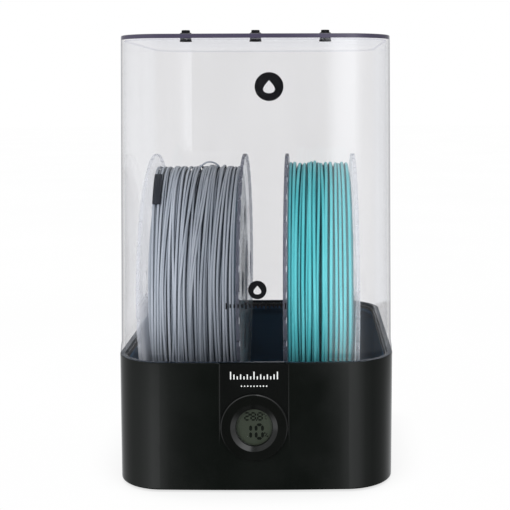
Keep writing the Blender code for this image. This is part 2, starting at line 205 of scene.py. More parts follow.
def loft(stations, steps=20, closed=False):
    """A body through outlines that follow the rim. A station is (inset, z)."""
    made = bmesh.new()
    rings = []
    for inset, z in stations:
        rings.append([made.verts.new((x, y, z)) for x, y in rim_outline(inset, steps)])
    pairs = list(zip(rings, rings[1:]))
    if closed:
        pairs.append((rings[-1], rings[0]))
    else:
        made.faces.new(rings[0])
        made.faces.new(rings[-1])
    for lower, upper in pairs:
        bridge(made, lower, upper)
    return made


def lathe(profile, segments, place=Matrix()):
    """A body turned round the place's Z. The profile is a closed loop of (radius, z)."""
    made = bmesh.new()
    rings = []
    for radius, z in profile:
        if radius < 1e-7:
            rings.append([made.verts.new((0, 0, z))])
            continue
        rings.append([made.verts.new((x, y, z)) for x, y in circle(radius, segments)])
    for lower, upper in zip(rings, rings[1:] + rings[:1]):
        for i in range(segments):
            j = (i + 1) % segments
            corners = [lower[i % len(lower)], lower[j % len(lower)]]
            corners += [upper[j % len(upper)], upper[i % len(upper)]]
            corners = list(dict.fromkeys(corners))
            if len(corners) > 2:
                made.faces.new(corners)
    bmesh.ops.transform(made, matrix=place, verts=made.verts)
    return made


def plate(loops, low, high, place=Matrix(), edge=0.0):
    """A flat body from an outline and the outlines of its holes, with its edges bevelled."""
    made = bmesh.new()
    for loop in loops:
        verts = [made.verts.new((x, y, low)) for x, y in loop]
        for a, b in zip(verts, verts[1:] + verts[:1]):
            made.edges.new((a, b))
    bmesh.ops.triangle_fill(made, use_beauty=True, edges=made.edges)
    raised = bmesh.ops.extrude_face_region(made, geom=list(made.faces))
    moved = [item for item in raised["geom"] if isinstance(item, bmesh.types.BMVert)]
    bmesh.ops.translate(made, verts=moved, vec=(0, 0, high - low))
    if edge:
        bmesh.ops.recalc_face_normals(made, faces=made.faces)
        rims = [e for e in made.edges if e.calc_face_angle(0) > math.radians(60)]
        bmesh.ops.bevel(made, geom=rims, offset=edge, segments=2, profile=0.6, affect="EDGES")
    bmesh.ops.transform(made, matrix=place, verts=made.verts)
    return made


def polar(radius, angle):
    return radius * math.cos(angle), radius * math.sin(angle)


def circle(radius, steps, x=0.0, y=0.0):
    spots = [polar(radius, math.tau * i / steps) for i in range(steps)]
    return [(x + across, y + up) for across, up in spots]


def bar(x, half, low, high):
    """An upright rectangle."""
    return [(x - half, low), (x + half, low), (x + half, high), (x - half, high)]


def joined(parts):
    """One bmesh from several."""
    whole = bmesh.new()
    for part in parts:
        mesh = as_mesh("part", part)
        whole.from_mesh(mesh)
        bpy.data.meshes.remove(mesh)
    return whole


def along_x(x, y, z):
    """A place whose Z runs along +X."""
    return Matrix.Translation((x, y, z)) @ Matrix.Rotation(math.pi / 2, 4, "Y")


def on_front(height=0.0):
    """A place at the gauge whose Z points out of the front, and whose Y runs up the wall."""
    right = Vector((1, 0, 0))
    up = OUTWARDS.cross(right)
    turn = Matrix((right, up, OUTWARDS)).transposed().to_4x4()
    return Matrix.Translation(GAUGE_AT + OUTWARDS * height) @ turn


def middle(node):
    low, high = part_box(node)
    return (Vector(low) + Vector(high)) / 2


def size_mm(node):
    low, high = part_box(node)
    return [(b - a) / MM for a, b in zip(low, high)]


# --- Materials ---


class Nodes:
    """A short way to write the node tree of a material or a world."""

    def __init__(self, owner, out="ShaderNodeOutputMaterial"):
        owner.use_nodes = True
        self.owner = owner
        self.tree = owner.node_tree
        self.tree.nodes.clear()
        self.out = self.tree.nodes.new(out)

    def add(self, kind, values=None, **settings):
        node = self.tree.nodes.new("ShaderNode" + kind)
        for key, value in settings.items():
            setattr(node, key, value)
        for key, value in (values or {}).items():
            if isinstance(value, bpy.types.NodeSocket):
                self.tree.links.new(value, node.inputs[key])
            else:
                node.inputs[key].default_value = value
        return node

    def maths(self, operation, first, second=0.0):
        return self.add("Math", {0: first, 1: second}, operation=operation).outputs[0]

    def made(self, kind, **values):
        """A node's first output; an underscore in a value's name stands for a space."""
        named = {key.replace("_", " "): value for key, value in values.items()}
        return self.add(kind, named).outputs[0]

    def between(self, share, first, second):
        """The second shader's share over the first."""
        return self.add("MixShader", {0: share, 1: first, 2: second}).outputs[0]

    def blend(self, factor, first, second, kind="MIX"):
        values = {0: factor, 6: first, 7: second}
        return self.add("Mix", values, data_type="RGBA", blend_type=kind).outputs[2]

    def dimmed(self, shade, level):
        return self.blend(1.0, shade, level, "MULTIPLY")

    def ramp(self, value, low, high, to_low=0.0, to_high=1.0, kind="LINEAR"):
        values = dict(enumerate((value, low, high, to_low, to_high)))
        return self.add("MapRange", values, interpolation_type=kind).outputs[0]

    def spread(self, noise, low, high):
        """Maps a noise, which mostly stays between 0.3 and 0.7."""
        return self.ramp(noise, 0.3, 0.7, low, high)

    def noise(self, scale, detail=3.0, stretch=(1, 1, 1), rough=0.5):
        place = self.add("TexCoord").outputs["Object"]
        mapped = self.add("Mapping", {"Vector": place, "Scale": stretch}).outputs[0]
        return self.made("TexNoise", Vector=mapped, Scale=scale, Detail=detail, Roughness=rough)

    def bump(self, height, depth):
        return self.made("Bump", Height=height, Distance=depth, Strength=1.0)

    def finish(self, shader):
        self.tree.links.new(shader, self.out.inputs["Surface"])
        return self.owner


def material_nodes(name):
    return Nodes(bpy.data.materials.new(name))


def colour(*rgb):
    return (*rgb, 1.0)


def scaled(rgb, factor):
    return colour(*(factor * value for value in rgb))


def moulded(name, base, rough, grain=2600, depth=0.02, change=0.12, metallic=0.0, sheen=0.5):
    """Plastic, rubber or metal: fine grain, as deep as depth in millimetres, and slow change in
    shade and gloss."""
    n = material_nodes(name)
    slow = n.noise(28.0, 4.0)
    fine = n.noise(grain, 2.0)
    worn = n.ramp(n.noise(90.0, 6.0, rough=0.7), 0.55, 0.8)
    light = colour(*(min(1.0, value * (1 + change) + 0.001) for value in base))
    shade = n.blend(slow, scaled(base, 1 - change), light)
    even = n.spread(slow, rough - 0.04, rough + 0.05)
    gloss = n.maths("ADD", even, n.maths("MULTIPLY", worn, 0.06))
    bump = n.bump(fine, depth * MM)
    values = {"Roughness": gloss, "Metallic": metallic, "Specular_IOR_Level": sheen, "Normal": bump}
    return n.finish(n.made("BsdfPrincipled", Base_Color=shade, **values))


def clear(
    name, face, edge, power=4.0, shine=1.0, graze=0.4, rough=0.03, streak=0.02, near_only=False, painted_sheen=0.0
):
    """Clear plastic: light passes straight through, tinted more where the surface turns away. A near-black
    edge tint, as on the cover's corners, is painted shade.
    With near_only the tint shows only from outside, so that far walls stay clear. Painted sheen is the share
    of light that a face scatters when it is seen edge-on, the more the lower it lies by the rim: painted
    reflection, in place of the bright grazing reflection of a clear flange."""
    n = material_nodes(name)
    facing = n.add("LayerWeight", {"Blend": 0.5}).outputs["Facing"]
    turned = n.maths("POWER", facing, power)
    if near_only:
        outside = n.maths("SUBTRACT", 1.0, n.add("NewGeometry").outputs["Backfacing"])
        turned = n.maths("MULTIPLY", turned, outside)
    smear = n.noise(22.0, 2.0, (1, 1, 0.25), 0.5)
    tint = n.blend(turned, colour(*face), colour(*edge))
    tint = n.dimmed(tint, n.spread(smear, 1 - streak, 1.0))
    through = n.made("BsdfTransparent", Color=tint)
    # Painted reflection: a white matt share, strongest edge-on and low down by the rim.
    if painted_sheen:
        scattered = n.made("BsdfDiffuse", Color=colour(0.95, 0.96, 1.0))
        place = n.add("NewGeometry").outputs["Position"]
        height = n.add("SeparateXYZ", {0: place}).outputs[2]
        sunk = n.ramp(height, RIM_Z + 60 * MM, RIM_Z - 5 * MM, 0.05, 1.0)
        part = n.maths("MULTIPLY", n.maths("POWER", facing, 4.0), n.maths("MULTIPLY", sunk, painted_sheen))
        through = n.between(part, through, scattered)
    gloss = n.spread(smear, rough, rough + 0.03)
    mirror = n.made("BsdfGlossy", Color=colour(0.97, 0.985, 1.0), Roughness=gloss)
    share = n.maths("MULTIPLY", n.maths("POWER", facing, 5.0), graze)
    share = n.maths("MULTIPLY", n.maths("ADD", share, 0.04), shine)
    return n.finish(n.between(share, through, mirror))


def half_clear(name, solid, share, tint, rough=0.25):
    """The edge of a clear moulding, where light gathers: part solid in colour, part see-through. The solid
    colour is painted light and shade, not the plastic's own colour.
    """
    n = material_nodes(name)
    slow = n.noise(60.0, 4.0)
    shade = n.blend(slow, scaled(solid, 0.8), scaled(solid, 1.2))
    gloss = n.spread(slow, rough - 0.05, rough + 0.08)
    body = n.made("BsdfPrincipled", Base_Color=shade, Roughness=gloss)
    through = n.made("BsdfTransparent", Color=colour(*tint))
    return n.finish(n.between(share, through, body))


def edge_on(name, deep, face):
    """The rim of a clear plate, which gathers its tint: deep in colour from outside, clear from inside."""
    n = material_nodes(name)
    inside = n.add("NewGeometry").outputs["Backfacing"]
    through = n.made("BsdfTransparent", Color=colour(*face))
    slow = n.noise(9.0, 3.0)
    shade = n.blend(slow, scaled(deep, 0.8), scaled(deep, 1.25))
    gloss = n.spread(slow, 0.1, 0.2)
    solid = n.made("BsdfPrincipled", Base_Color=shade, Roughness=gloss)
    return n.finish(n.between(inside, solid, through))


def filament_look(name, base, dark, light, darker=None):
    """Satin filament: each strand has its own shade, with faint marks along it, and painted shade in the
    gaps between strands.
    Darker is (from x, to x, share): strands past those places are that much darker, as painted shade for the
    light that falls off across the winding."""
    n = material_nodes(name)
    strand = n.noise(300.0, 1.0, (1, 0.06, 0.06))
    slow = n.noise(35.0, 3.0)
    shade = n.blend(n.ramp(strand, 0.3, 0.7), colour(*dark), colour(*light))
    shade = n.blend(n.spread(slow, 0.15, 0.6), shade, colour(*base))
    # Painted shade: the colour darkens along X, towards the right of the winding.
    if darker:
        start, end, share = darker
        x = n.add("SeparateXYZ", {0: n.add("TexCoord").outputs["Object"]}).outputs[0]
        shade = n.dimmed(shade, n.ramp(x, start, end, 1.0, share))
    # Painted shade: ambient occlusion darkens the colour in the gaps between strands and layers.
    crease_occlusion = n.add("AmbientOcclusion", {"Distance": 3.5 * MM}, samples=6).outputs["AO"]
    depth = n.ramp(crease_occlusion, 0.12, 0.9)
    gap = [share * value for share, value in zip((0.13, 0.17, 0.22), base)]
    shade = n.blend(depth, colour(*gap), shade)
    marks = n.noise(900.0, 2.0, (1, 0.3, 0.3))
    gloss = n.spread(marks, 0.36, 0.5)
    values = {"Roughness": gloss, "Normal": n.bump(marks, 0.03 * MM), "Specular_IOR_Level": 0.45}
    return n.finish(n.made("BsdfPrincipled", Base_Color=shade, **values))


GREY_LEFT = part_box("grey_filament_winding")[0][0]
GREY_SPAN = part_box("grey_filament_winding")[1][0] - GREY_LEFT
COVER_TINT = (0.971, 0.97, 0.974)

LOOKS = {
    "base": moulded("satin_black_plastic", (0.0028, 0.0036, 0.003), 0.12, 2200, 0.004, sheen=0.23),
    # Inner walls: navy and far lighter than the black outside, partly their colour, partly painted light for
    # what they catch and reflect through the cover.
    "inside": moulded("inner_wall_navy_painted_light", (0.073, 0.145, 0.245), 0.7, 2200, 0.02, sheen=0.0),
    "land": moulded("inner_rim_black", (0.012, 0.02, 0.034), 0.4, 2200, 0.02, sheen=0.05),
    "panel": moulded("gloss_black_inlay", (0.003, 0.0034, 0.0032), 0.12, 400, 0.003, sheen=0.2),
    "bezel": moulded("satin_black_ring", (0.002, 0.0024, 0.002), 0.2, 3000, 0.004, sheen=0.1),
    "slope": moulded("gloss_black_slope", (0.003, 0.0034, 0.003), 0.14, 3000, 0.004, sheen=0.55),
    "housing": moulded("matt_black_plastic", (0.02, 0.02, 0.021), 0.5),
    "display": moulded("lcd_grey_green", (0.034, 0.04, 0.03), 0.3, 500, 0.002, 0.06, sheen=0.2),
    "digits": moulded("lcd_dark", (0.002, 0.003, 0.002), 0.4, 500, 0.001, sheen=0.1),
    "board": moulded("green_board", (0.02, 0.15, 0.05), 0.45, 700),
    "cell": moulded("bright_cell", (0.62, 0.62, 0.64), 0.22, 1500, 0.004, 0.05, 1.0),
    "rubber": moulded("black_rubber", (0.014, 0.014, 0.016), 0.62, 1800, 0.03),
    "cradle": moulded("inner_black_plastic", (0.014, 0.015, 0.018), 0.45, 1800, 0.03),
    "steel": moulded("ground_steel", (0.55, 0.56, 0.58), 0.24, 1200, 0.006, 0.06, 1.0),
    "shield": moulded("dark_steel", (0.24, 0.24, 0.26), 0.35, 1200, 0.006, 0.08, 1.0),
    "white": moulded("white_plastic", (0.62, 0.62, 0.61), 0.45, 1500),
    "paper": moulded("white_paper_bag", (0.72, 0.72, 0.7), 0.85, 800, 0.08),
    "print": moulded("white_print", (0.6, 0.61, 0.6), 0.5, 1500),
    "stopper": moulded("black_stopper", (0.004, 0.004, 0.005), 0.4, 1800, 0.01, sheen=0.15),
    "dark_print": moulded("dark_print", (0.003, 0.003, 0.004), 0.4, 1500, sheen=0.1),
    "label": moulded("dark_label", (0.008, 0.011, 0.018), 0.5, 900, sheen=0.06),
    "cover": clear("clear_cover", COVER_TINT, (0.85, 0.84, 0.88), 40.0, graze=0.2),
    # Near-black edge tint: painted shade for the dark the cover's curved corners show when seen edge-on.
    "cover_corner": clear("clear_cover_corner", COVER_TINT, (0, 0, 0.02), 3.9, graze=0.2, near_only=True),
    "cover_joint": clear("clear_cover_joint", (0.87, 0.87, 0.9), (0.8, 0.79, 0.84), 4.0),
    "cover_edge": edge_on("clear_cover_edge", (0.042, 0.037, 0.062), COVER_TINT),
    "spool": clear(
        "clear_spool", (0.975, 0.977, 0.982), (0.92, 0.925, 0.94), 6.0, 0.4, 1.0, 0.08, 0.03, painted_sheen=0.4
    ),
    # The outer flanges take more painted sheen than the inner ones.
    "spool_outer": clear(
        "clear_spool_painted_sheen", (0.975, 0.977, 0.982), (0.95, 0.955, 0.97), 6.0, 0.1, 1.0, 0.08, 0.03, painted_sheen=1.3
    ),
    # Spool rims: painted shade on the inner flanges, painted light on the outer ones, and a painted
    # highlight on the inner flanges' bevels.
    "rim_painted_shade": half_clear("clear_spool_edge_painted_shade", (0.1, 0.105, 0.135), 0.6, (0.36, 0.37, 0.44)),
    "rim_painted_light": half_clear("clear_spool_outer_edge_painted_light", (0.66, 0.68, 0.73), 0.3, (0.9, 0.91, 0.93)),
    "rim_painted_highlight": half_clear("clear_spool_bevel_painted_highlight", (0.7, 0.73, 0.78), 0.6, (0.9, 0.91, 0.93), 0.15),
    "lens": clear("clear_lens", (0.97, 0.98, 0.97), (0.4, 0.42, 0.4), 4.0, 1.0, 0.9, 0.02, 0.01),
    "grey": filament_look(
        "grey_filament", (0.375, 0.415, 0.47), (0.285, 0.32, 0.37), (0.49, 0.53, 0.59),
        # Painted shade on the grey winding, from about a third of the way across.
        (GREY_LEFT + 0.36 * GREY_SPAN, GREY_LEFT + 0.52 * GREY_SPAN, 0.72),
    ),
    "teal": filament_look("teal_filament", (0.1, 0.54, 0.58), (0.06, 0.44, 0.475), (0.16, 0.64, 0.68)),
}


# --- Base ---


def tombstone(half, top, steps=40):
    """An upright outline with a half-round foot round the gauge's axis."""
    foot = [polar(half, math.pi + math.pi * i / steps) for i in range(steps + 1)]
    return [*foot, (half, top), (-half, top)]


def base_tub():
    profile = [
        (DRAFT + 6 * MM, BASE_Z, 0),
        (DRAFT, BASE_Z, 1.6 * MM),
        (0, RIM_Z, 0.7 * MM),
        (RIM_LAND, RIM_Z, 0.4 * MM),
        (RIM_LAND, LEDGE_Z, 0.3 * MM),
        (LEDGE_REACH, LEDGE_Z, 0.4 * MM),
        (LEDGE_REACH, LEDGE_Z - 3 * MM, 1.5 * MM),
        (WALL, LEDGE_Z - 8 * MM, 3 * MM),
        (DRAFT + WALL, FLOOR_Z, 4 * MM),
        (DRAFT + WALL + 12 * MM, FLOOR_Z, 0),
    ]
    made = loft(softened(profile, 5))
    tub = add_piece("black_base", made, "base", "base", ["base_tub"])
    low, high = -12 * MM, 6 * MM
    cut(tub, lathe([(0, low), (GAUGE_HOLE, low), (GAUGE_HOLE, high), (0, high)], 64, on_front()))
    recess = tombstone(PANEL_HALF + 0.05 * MM, 60 * MM)
    cut(tub, plate([recess], -1.45 * MM, 5 * MM, on_front()))
    smooth(tub.data)
    more_looks(tub, "inside", "land")
    # The inner walls take the navy look, whose lightness is partly painted light.
    for face in tub.data.polygons:
        x, y, z = face.center
        deep = inside_rim(x, y, WALL - 0.5 * MM) and z > BASE_Z + 2 * MM
        if inside_rim(x, y, 0.5 * MM) and z > LEDGE_Z - 1 * MM:
            face.material_index = 2
        elif deep and face.normal.y * y + face.normal.x * x <= 0:
            face.material_index = 1


def inside_rim(x, y, inset):
    """Whether a place lies inside the rim's outline moved inwards."""
    half_x = RIM_WIDTH / 2 - inset
    half_y = RIM_DEPTH / 2 - inset - BOW * (2 * x / RIM_WIDTH) ** 2
    corner = RIM_CORNER - inset
    over_x = max(0.0, abs(x) - half_x + corner)
    over_y = max(0.0, abs(y) - half_y + corner)
    return math.hypot(over_x, over_y) < corner


def front_panel():
    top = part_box("front_panel")[1][2] - GAUGE_AT.z
    loops = [tombstone(PANEL_HALF, top), circle(GAUGE_HOLE, 64)]
    made = plate(loops, -1.15 * MM, 0.02 * MM, on_front())
    panel = add_piece("gloss_panel", made, "panel", "base", ["front_panel"])
    more_looks(panel, "stopper")
    for face in panel.data.polygons:
        face.material_index = int(face.normal.dot(OUTWARDS) < 0.98)


def panel_scale():
    """Plain graduations in place of lettering: a row of ticks with a shorter row of dots below."""
    tick_step, tick_half, tick_foot = 2.45 * MM, 0.42 * MM, 35.2 * MM
    dot_step, dot_radius, dot_height = 2.3 * MM, 0.52 * MM, 30.2 * MM
    outlines = []
    for i in range(15):
        tall = 5.6 if i % 7 == 0 else (3.6 if i % 2 else 2.2)
        outlines.append(bar((i - 7) * tick_step, tick_half, tick_foot, tick_foot + tall * MM))
    for i in range(9):
        outlines.append(circle(dot_radius, 12, (i - 4) * dot_step, dot_height))
    place = on_front(0.05 * MM)
    parts = [plate([outline], 0, 0.06 * MM, place) for outline in outlines]
    add_piece("panel_scale", joined(parts), "print", "base")


def standing(name, node, profile, segments, look):
    """A turned part of the base that stands upright."""
    centre = middle(node)
    place = Matrix.Translation((centre.x, centre.y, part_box(node)[0][2]))
    made = lathe(softened_mm(profile, 3), segments, place)
    add_piece(name, made, look, "base", [node])


def small_base_parts():
    for place in CORNERS:
        node = f"rubber_foot_{place}"
        wide, _, tall = size_mm(node)
        profile = [(0, 0, 0), (wide / 2, 0, 0.5), (wide / 2, tall, 0.2), (0, tall, 0)]
        standing(f"foot_{place}", node, profile, 32, "rubber")
        node = f"cradle_screw_{place}"
        top = size_mm(node)[2]
        head = top - 2
        socket = top - 1.1
        profile = [
            (0, 0, 0), (1.5, 0, 0.4), (1.5, head, 0), (3.4, head, 0.2), (3.4, top, 1.2),
            (1.3, top, 0.1), (0.9, socket, 0), (0, socket, 0),
        ]
        standing(f"screw_{place}", node, profile, 24, "steel")
    low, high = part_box("rim_seal")
    outer = RIM_LAND + 0.3 * MM
    inner = LEDGE_REACH - 0.4 * MM
    profile = [
        (outer, low[2], 0.3 * MM), (inner, low[2], 0.3 * MM),
        (inner, high[2], 0.8 * MM), (outer, high[2], 0.8 * MM),
    ]
    made = loft(softened(profile, 3), 16, closed=True)
    add_piece("seal_ring", made, "rubber", "base", ["rim_seal"])


# --- Rods and bearings ---


def rods():
    for name in ("front_rod", "rear_rod"):
        half = size_mm(name)[0] / 2
        profile = [(0, -half, 0), (4, -half, 0.6), (4, half, 0.6), (0, half, 0)]
        made = lathe(softened_mm(profile, 3), 40, along_x(*middle(name)))
        add_piece(f"steel_{name}", made, "steel", "base", [name])


def ring_profile(inner, outer, inner_half, outer_half, inner_soft, outer_soft):
    """The section of a ring: its two radii, its half widths there, and how far its edges round."""
    return [
        (inner, -inner_half, inner_soft), (outer, -outer_half, outer_soft),
        (outer, outer_half, outer_soft), (inner, inner_half, inner_soft),
    ]


def bearings():
    """Each bearing as a polished outer race, a dished dark shield and an inner race."""
    half = 3.5
    outer_race = softened_mm(ring_profile(9.1, 11, half, half, 0.3, 0.5), 3)
    shield = softened_mm(ring_profile(6.5, 9.15, half - 0.9, half - 0.5, 0.2, 0.2), 2)
    inner_race = softened_mm(ring_profile(4.25, 6.2, half, half, 0.3, 0.3), 3)
    for name in [f"{spool}_{corner}" for spool in ("grey", "teal") for corner in CORNERS]:
        body = f"roller_{name}"
        place = along_x(*middle(body))
        add_piece(f"outer_race_{name}", lathe(outer_race, 56, place), "steel", body, [body])
        add_piece(f"shield_{name}", lathe(shield, 48, place), "shield", body)
        made = lathe(inner_race, 40, place)
        add_piece(f"bore_race_{name}", made, "steel", "base", [f"inner_race_{name}"])


def carried_over():
    """CAD nodes whose shape is right as it is, with their finished materials."""
    looks = {"roller_cradle": "cradle", "gauge_board": "board", "gauge_battery": "cell"}
    for side in ("left", "right"):
        looks[f"desiccant_box_{side}"] = "white"
        looks[f"desiccant_lid_{side}"] = "white"
    for node, look in looks.items():
        for slot in frame["nodes"][node].material_slots:
            slot.material = LOOKS[look]


def silica_bags():
    """A paper bag of beads in each box: a pillow with a flat sealed seam round it."""
    for side in ("left", "right"):
        node = f"silica_bag_{side}"
        half_x, half_y, half_z = [length * MM / 2 for length in size_mm(node)]
        noise = random.Random(len(side))
        made = bmesh.new()
        bmesh.ops.create_grid(made, x_segments=36, y_segments=28, size=1)
        for vert in made.verts:
            u, v = vert.co.x, vert.co.y
            full = max(0.0, (1 - u**6) * (1 - v**6)) ** 0.5
            lump = 1 - 0.18 * noise.random()
            vert.co = (u * half_x, v * half_y, full * half_z * lump)
        bmesh.ops.smooth_vert(made, verts=made.verts, factor=0.5, use_axis_z=True)
        lower = made.copy()
        for vert in lower.verts:
            vert.co.z = -vert.co.z
        made = joined([made, lower])
        bmesh.ops.remove_doubles(made, verts=made.verts, dist=0.05 * MM)
        bmesh.ops.translate(made, verts=made.verts, vec=middle(node))
        add_piece(f"paper_bag_{side}", made, "paper", "base", [node])


# --- Gauge ---


def turned_on_front(name, profile, look, replaced, segments=72, body="gauge"):
    made = lathe(softened_mm(profile), segments, on_front())
    return add_piece(name, made, look, body, replaced)


def gauge():
    bezel = [
        (24.6, 0.4, 0.1), (24.6, 1.8, 0.3), (23.9, 2.5, 0.5), (17.4, 2.6, 0.5), (13.9, 0.9, 0.6),
        (13.3, 0.8, 0.2), (13.3, 0.0, 0.1), (18.3, 0.0, 0.1), (18.3, -4.0, 0.2), (19.8, -4.0, 0.2),
        (19.8, 0.4, 0.1),
    ]
    ring = turned_on_front("gauge_ring", bezel, "bezel", ["gauge_bezel"], 96)
    more_looks(ring, "slope")
    for face in ring.data.polygons:
        out = face.center - GAUGE_AT
        away = (out - OUTWARDS * out.dot(OUTWARDS)).length
        polished = 13.9 * MM < away < 17.3 * MM or away > 23.95 * MM
        if polished and face.normal.dot(OUTWARDS) > 0.3:
            face.material_index = 1
    housing = [
        (11.6, -15, 0.2), (21.8, -15, 0.8), (21.8, 0.1, 0.2), (20.3, 0.1, 0.2), (20.3, -13.4, 0.5),
        (11.6, -13.4, 0.2),
    ]
    turned_on_front("gauge_can", housing, "housing", ["gauge_housing"])
    lens = [(0, -1.4, 0), (17.8, -1.4, 0.1), (17.8, -0.3, 0.1), (0, -0.3, 0)]
    turned_on_front("gauge_window", lens, "lens", ["gauge_lens"])
    display = [(0, -3.9, 0), (16.5, -3.9, 0.1), (16.5, -1.8, 0.1), (0, -1.8, 0)]
    turned_on_front("gauge_screen", display, "display", ["gauge_display"])
    door = [(0, -15, 0), (11.2, -15, 0.3), (11.2, -13.4, 0.2), (0, -13.4, 0)]
    lid = turned_on_front(
        "cell_door", door, "housing", ["battery_door"], body="battery_door"
    )
    coin_slot = softened_mm([(-5, -0.9, 0.8), (5, -0.9, 0.8), (5, 0.9, 0.8), (-5, 0.9, 0.8)], 3)
    cut(lid, plate([coin_slot], -16 * MM, -14.2 * MM, on_front()))
    smooth(lid.data)


# The seven strokes of a digit, each from one corner of a unit box to another, by letter.
STROKES = {
    "a": ((0, 1), (1, 1)), "b": ((1, 1), (1, 0.5)), "c": ((1, 0.5), (1, 0)), "d": ((0, 0), (1, 0)),
    "e": ((0, 0.5), (0, 0)), "f": ((0, 1), (0, 0.5)), "g": ((0, 0.5), (1, 0.5)),
}
DIGITS = {"0": "abcdef", "1": "bc", "2": "abged", "8": "abcdefg", "C": "afed"}


def stroke(start, end, width):
    """A bar with pointed ends between two points, a little short of both."""
    start, end = Vector(start), Vector(end)
    along = (end - start).normalized()
    across = Vector((-along.y, along.x)) * width / 2
    start = start + along * width * 0.15
    end = end - along * width * 0.15
    tip = along * width / 2
    points = [start, start + tip - across, end - tip - across, end, end - tip + across, start + tip + across]
    return [(point.x, point.y) for point in points]


def digit(name, left, foot, wide, tall, width):
    outlines = []
    for key in DIGITS[name]:
        start, end = [(left + x * wide, foot + y * tall) for x, y in STROKES[key]]
        outlines.append(stroke(start, end, width))
    return outlines


def readings():
    """Temperature over humidity, as an LCD draws them."""
    small, large = 3.2, 4.7
    outlines = []
    for name, left in (("2", -6.9), ("8", -2.4), ("8", 2.6)):
        outlines += digit(name, left, 4.8, small, 5.2, 1.2)
    outlines += digit("C", 8.0, 5.4, 1.5, 2.4, 0.5)
    outlines += digit("1", -7.4, -8.8, large, 10.0, 2.1)
    outlines += digit("0", 1.3, -8.8, large, 10.0, 2.1)
    outlines.append(stroke((7.6, -7.6), (9.6, -4.8), 0.6))
    rings = [(0.6, 1.7, 4.7), (0.5, 7.2, 9.0), (0.6, 7.7, -4.9), (0.6, 9.5, -7.3)]
    outlines += [circle(radius, 12, x, y) for radius, x, y in rings]
    parts = []
    for outline in outlines:
        metres = [(x * MM, y * MM) for x, y in outline]
        parts.append(plate([metres], -1.78 * MM, -1.72 * MM, on_front()))
    add_piece("screen_digits", joined(parts), "digits", "gauge")


# --- Cover ---


def at_outlet(side):
    """A place on the cover's top, at an outlet."""
    centre = middle(f"outlet_bush_{side}")
    return Matrix.Translation((centre.x, centre.y, TOP_Z))


def cover():
    inner = COVER_INSET + COVER_WALL
    spigot_z = COVER_LOW[2]
    profile = [
        (COVER_INSET + 8 * MM, TOP_Z, 0), (COVER_INSET, TOP_Z, 1 * MM),
        (COVER_INSET, TOP_Z - COVER_PLATE, 0), (COVER_INSET, RIM_Z + 9 * MM, 6 * MM),
        (0.5 * MM, RIM_Z + 4.2 * MM, 3 * MM),
        (FLARE_INSET, RIM_Z + 0.3 * MM, 0.3 * MM),
        (SPIGOT_INSET, RIM_Z + 0.3 * MM, 0), (SPIGOT_INSET, spigot_z, 0.3 * MM),
        (SPIGOT_INSET + SPIGOT_WALL, spigot_z, 0.3 * MM),
        (SPIGOT_INSET + SPIGOT_WALL, RIM_Z + 2 * MM, 1.5 * MM),
        (inner, RIM_Z + 5 * MM, 3 * MM),
        (inner, TOP_Z - COVER_PLATE, 2 * MM), (inner + 8 * MM, TOP_Z - COVER_PLATE, 0),
    ]
    made = loft(softened(profile, 6), 24)
    shell = add_piece("clear_cover", made, "cover", "cover", ["cover_shell"])
    for side in ("left", "middle", "right"):
        low, high, radius = -6 * MM, 3 * MM, 4.6 * MM
        cut(shell, lathe([(0, low), (radius, low), (radius, high), (0, high)], 40, at_outlet(side)))
    smooth(shell.data)
    more_looks(shell, "cover_edge", "cover_corner", "cover_joint")
    corner_x = RIM_WIDTH / 2 - RIM_CORNER
    for face in shell.data.polygons:
        x, y, z = face.center
        outwards = face.normal.x * x + face.normal.y * y > 0 and not inside_rim(x, y, inner - 1 * MM)
        if outwards and z > TOP_Z - COVER_PLATE and abs(face.normal.z) < 0.95:
            face.material_index = 1
        # Outer faces at the corners take the look whose edge tint is painted shade.
        elif outwards and abs(x) > corner_x and z < TOP_Z - 0.1 * MM:
            face.material_index = 2
        elif not outwards and z > TOP_Z - COVER_PLATE - 2.1 * MM and 0.1 < abs(face.normal.z) < 0.98:
            face.material_index = 3


def outlets():
    bush = [
        (2.4, -4.4, 0.2), (4.7, -4.4, 0.4), (4.7, -3.4, 0.2), (4.3, -3.4, 0), (4.3, 0.25, 0),
        (5.4, 0.25, 0.2), (5.3, 1.0, 0.5), (4.0, 2.6, 0.5), (2.4, 2.6, 0.3),
    ]
    plug = [
        (0, -3.6, 0), (2.0, -3.6, 0.5), (2.0, 2.7, 0), (3.3, 2.7, 0.2), (3.2, 4.5, 0.5), (0, 4.5, 0),
    ]
    for side in ("left", "middle", "right"):
        for kind, profile, body in (("bush", bush, "cover"), ("plug", plug, f"plug_{side}")):
            made = lathe(softened_mm(profile, 3), 48, at_outlet(side))
            node = f"outlet_{kind}_{side}"
            add_piece(f"strand_{kind}_{side}", made, "stopper", body, [node])


def drop_outline(size, steps=40):
    """A water drop, point up, round the origin."""
    points = []
    for i in range(steps):
        t = math.tau * i / steps
        points.append((0.62 * size * math.sin(t) * math.sin(t / 2) ** 1.4, 0.5 * size * math.cos(t)))
    return points


